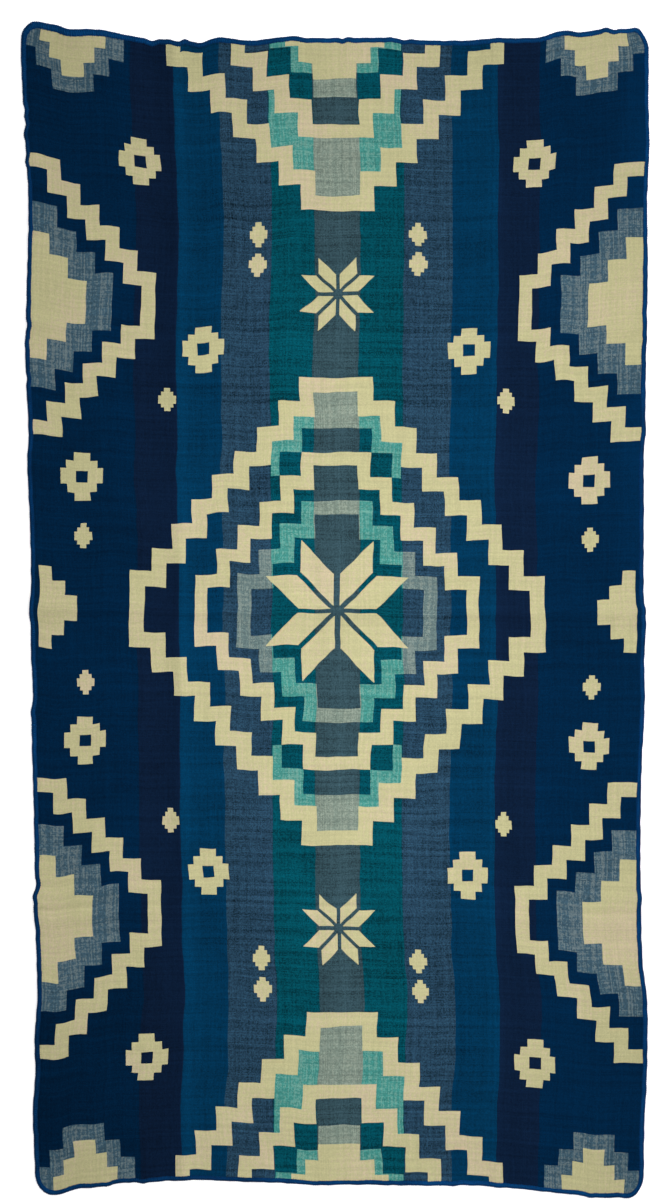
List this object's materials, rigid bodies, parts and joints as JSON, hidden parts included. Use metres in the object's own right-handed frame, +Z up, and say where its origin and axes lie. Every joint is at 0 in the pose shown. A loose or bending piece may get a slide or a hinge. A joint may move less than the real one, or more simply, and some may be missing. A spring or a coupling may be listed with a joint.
{
  "type": "alpaca blanket",
  "caption": "Flat figured blanket of double-woven alpaca cloth, lying open with soft fold creases and a narrow yarn edging on all four sides.",
  "frame": {"origin": "under the middle of the blanket's outline, at the level it lies on", "axes": "X across the blanket, Y along its length towards the picture's top, Z up"},
  "size_m": [1.0228, 1.9146, 0.0105],
  "materials": {
    "woven_wool": "brushed double-woven alpaca in navy, indigo, blue, slate, teal and grey warp stripes with cream figures",
    "edging_yarn": "royal blue wool yarn, matte"
  },
  "bodies": {
    "root": {"woven_cloth": "woven_wool", "edge_binding": "edging_yarn"}
  },
  "joints": []
}
